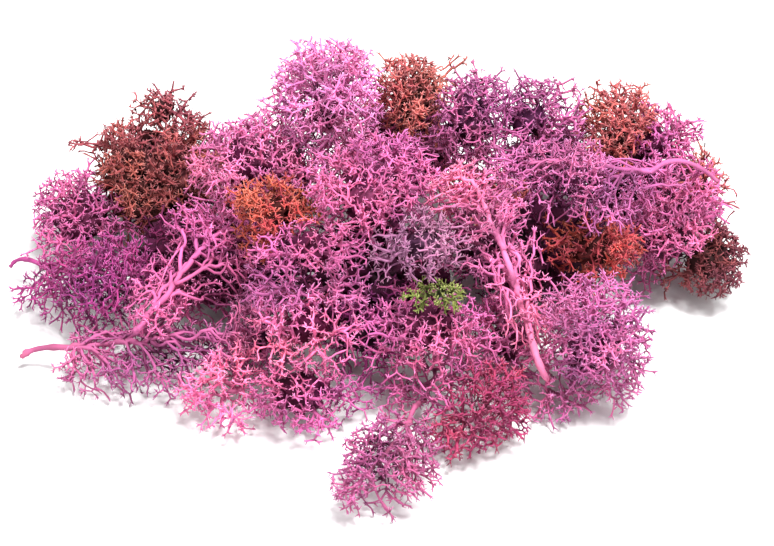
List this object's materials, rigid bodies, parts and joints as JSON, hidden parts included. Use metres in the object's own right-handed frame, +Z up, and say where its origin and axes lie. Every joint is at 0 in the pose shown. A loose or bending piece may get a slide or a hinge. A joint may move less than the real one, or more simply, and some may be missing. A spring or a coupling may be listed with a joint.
{
  "type": "reindeer moss clump",
  "caption": "Loose heap of dyed preserved reindeer lichen: forked, fine-tipped tufts in orchid purple, rust and ember with a wisp of green, resting on a small flat spot.",
  "frame": {"origin": "on the small flat spot under the bed tuft in the middle of the heap, on the surface that the clump lies on", "axes": "+X along the heap's length, to the right as seen from its front; +Y from the front to the back; +Z up"},
  "size_m": [0.1765, 0.1128, 0.0626],
  "materials": {
    "moss_orchid": "matte",
    "moss_bright": "matte",
    "moss_violet": "matte",
    "moss_pink": "matte",
    "moss_magenta": "matte",
    "moss_salmon": "matte",
    "moss_wine": "matte",
    "moss_deep": "matte",
    "moss_grey": "matte",
    "moss_rust": "matte",
    "moss_dark_rust": "matte",
    "moss_ember": "matte",
    "moss_brown": "matte",
    "moss_green": "matte"
  },
  "bodies": {
    "root": {"bed_centre": "moss_deep", "bed_left": "moss_deep", "bed_right": "moss_deep", "bed_far_right": "moss_deep", "back_left": "moss_violet", "back_middle": "moss_orchid", "back_right": "moss_violet", "rust_mound": "moss_rust", "left_cloud": "moss_violet", "left_drape": "moss_wine", "lower_left_fan": "moss_violet", "left_middle": "moss_violet", "front_left_low": "moss_salmon", "front_net": "moss_orchid", "valley": "moss_wine", "front_edge": "moss_orchid", "front_tuft": "moss_violet", "front_tuft_red": "moss_salmon", "right_middle": "moss_orchid", "right_foot": "moss_magenta", "right_front": "moss_magenta", "far_right_rust": "moss_dark_rust", "right_curtain": "moss_orchid", "right_back_brown": "moss_brown", "mid_left_fan": "moss_orchid", "salmon_head": "moss_salmon", "front_middle": "moss_orchid", "red_head": "moss_ember", "hollow_brown": "moss_brown", "rust_knob": "moss_rust", "upper_left_pink": "moss_orchid", "crown": "moss_bright", "brown_top": "moss_brown", "top_right_near": "moss_violet", "top_right_far": "moss_violet", "rust_top_right": "moss_rust", "right_top": "moss_orchid", "right_stems": "moss_magenta", "mid_purple": "moss_violet", "mid_purple_low": "moss_orchid", "mid_front_left": "moss_magenta", "ember_small": "moss_ember", "lacy_grey": "moss_grey", "pink_stems": "moss_pink", "green_wisp": "moss_green"}
  },
  "joints": []
}
